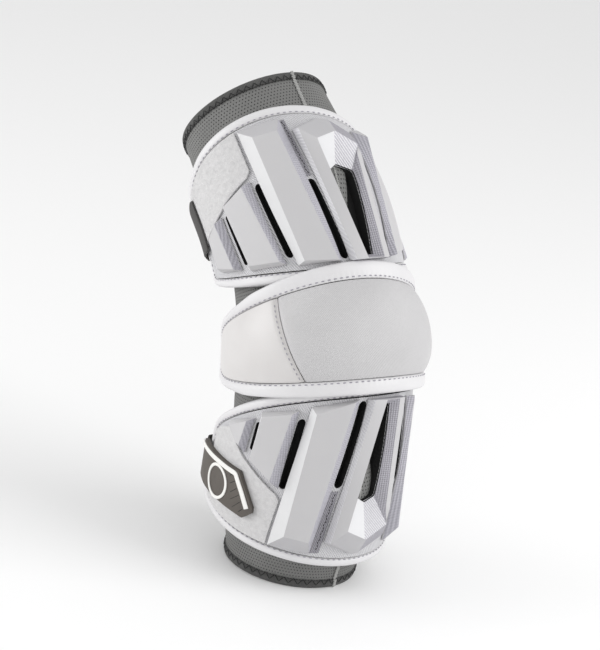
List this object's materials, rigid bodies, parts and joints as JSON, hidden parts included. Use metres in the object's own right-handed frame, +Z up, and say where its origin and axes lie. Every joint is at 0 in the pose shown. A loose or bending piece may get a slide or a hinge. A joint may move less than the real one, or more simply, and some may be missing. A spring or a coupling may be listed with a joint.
{
  "type": "lacrosse arm pad",
  "caption": "Padded arm guard: an open knitted sleeve with ribbed foam shells on the upper arm and forearm, a domed elbow cap and two wrap-round straps.",
  "frame": {"origin": "middle of the pad's outline on the surface that it stands on, at the height of the lower hem", "axes": "+Z up the forearm from the lower hem, -Y towards the elbow point, -X towards the strap tabs; the pad stands upright on its lower hem"},
  "size_m": [0.1332, 0.2128, 0.3046],
  "materials": {
    "sleeve_mesh": "mid-grey perforated spacer mesh",
    "hem_knit": "dark grey folded knit hem with zigzag stitch",
    "shell_foam": "light grey textile-faced foam with fine ribbed texture",
    "moulded_ribs": "smooth matte moulded foam, light grey-white, with textured flanks",
    "binding_leather": "smooth white synthetic leather, rolled and stitched",
    "cap_leather": "white synthetic leather with a very fine diagonal grain",
    "loop_pile": "off-white brushed loop pile",
    "strap_elastic": "dark grey woven elastic",
    "tab_rubber": "warm dark grey moulded rubber",
    "inlay_rubber": "off-white rubber inlay"
  },
  "bodies": {
    "root": {"cap_binding": "binding_leather", "cap_main": "cap_leather", "cap_side_left": "cap_leather", "cap_side_right": "cap_leather", "lower_binding": "binding_leather", "lower_chevron": "moulded_ribs", "lower_landing": "loop_pile", "lower_rib_left_1": "moulded_ribs", "lower_rib_left_2": "moulded_ribs", "lower_rib_left_3": "moulded_ribs", "lower_rib_right_1": "moulded_ribs", "lower_rib_right_2": "moulded_ribs", "lower_rib_right_3": "moulded_ribs", "lower_shell": "shell_foam", "lower_strap": "strap_elastic", "lower_tab": "tab_rubber", "lower_tab_ring": "inlay_rubber", "lower_tab_stripe": "inlay_rubber", "sleeve": "sleeve_mesh", "sleeve_bottom_hem": "hem_knit", "sleeve_top_hem": "hem_knit", "upper_binding": "binding_leather", "upper_chevron": "moulded_ribs", "upper_landing": "loop_pile", "upper_rib_left_1": "moulded_ribs", "upper_rib_left_2": "moulded_ribs", "upper_rib_left_3": "moulded_ribs", "upper_rib_right_1": "moulded_ribs", "upper_rib_right_2": "moulded_ribs", "upper_rib_right_3": "moulded_ribs", "upper_shell": "shell_foam", "upper_strap": "strap_elastic", "upper_tab": "tab_rubber"}
  },
  "joints": []
}
